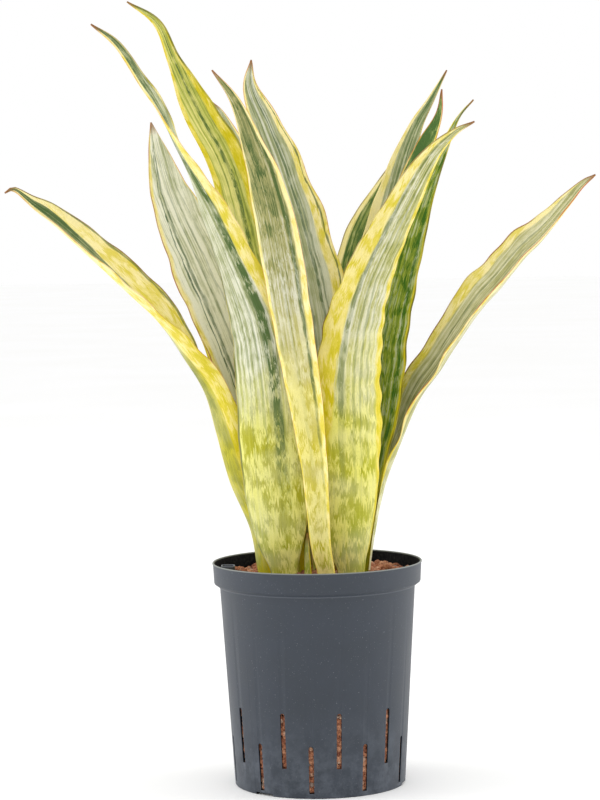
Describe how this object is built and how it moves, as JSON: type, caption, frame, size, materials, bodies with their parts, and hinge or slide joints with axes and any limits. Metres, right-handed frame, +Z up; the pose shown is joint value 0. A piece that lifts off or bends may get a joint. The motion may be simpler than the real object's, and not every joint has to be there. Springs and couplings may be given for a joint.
{
  "type": "potted snake plant",
  "caption": "Variegated snake plant with long arching sword-shaped leaves, rooted in clay granules in a round slotted hydroculture pot with a water gauge shaft.",
  "frame": {"origin": "on the pot's vertical axis, on the surface that the pot stands on", "axes": "+Z up along the axis of the pot; +X to the right and +Y away from someone who faces the plant with the gauge shaft on their left"},
  "size_m": [0.5017, 0.2791, 0.686],
  "materials": {
    "culture_pot": "satin, fine moulded texture",
    "water_gauge_shaft": "satin",
    "clay_granules": "unglazed, dry and porous",
    "rhizome": "fibrous living tissue, smooth skin",
    "leaf_far_left": "smooth, waxy, soft sheen",
    "leaf_left_wide": "smooth, waxy, soft sheen",
    "leaf_left_rear": "smooth, waxy, soft sheen",
    "leaf_left_front": "smooth, waxy, soft sheen",
    "leaf_left_tall": "smooth, waxy, soft sheen",
    "leaf_back_short": "smooth, waxy, soft sheen",
    "leaf_centre_front": "smooth, waxy, soft sheen",
    "leaf_centre_back": "smooth, waxy, soft sheen",
    "leaf_right_front": "smooth, waxy, soft sheen",
    "leaf_right_striped": "smooth, waxy, soft sheen",
    "leaf_right_upright": "smooth, waxy, soft sheen",
    "leaf_right_inner": "smooth, waxy, soft sheen",
    "leaf_right_rear": "smooth, waxy, soft sheen",
    "leaf_far_right": "smooth, waxy, soft sheen",
    "leaf_sprout": "smooth, waxy, soft sheen"
  },
  "bodies": {
    "root": {"culture_pot": "culture_pot", "water_gauge_shaft": "water_gauge_shaft", "clay_granules": "clay_granules", "clay_granules_by_gauge": "clay_granules", "rhizome": "rhizome", "leaf_far_left": "leaf_far_left", "leaf_left_wide": "leaf_left_wide", "leaf_left_rear": "leaf_left_rear", "leaf_left_front": "leaf_left_front", "leaf_left_tall": "leaf_left_tall", "leaf_back_short": "leaf_back_short", "leaf_centre_front": "leaf_centre_front", "leaf_centre_back": "leaf_centre_back", "leaf_right_front": "leaf_right_front", "leaf_right_striped": "leaf_right_striped", "leaf_right_upright": "leaf_right_upright", "leaf_right_inner": "leaf_right_inner", "leaf_right_rear": "leaf_right_rear", "leaf_far_right": "leaf_far_right", "leaf_sprout": "leaf_sprout"}
  },
  "joints": []
}
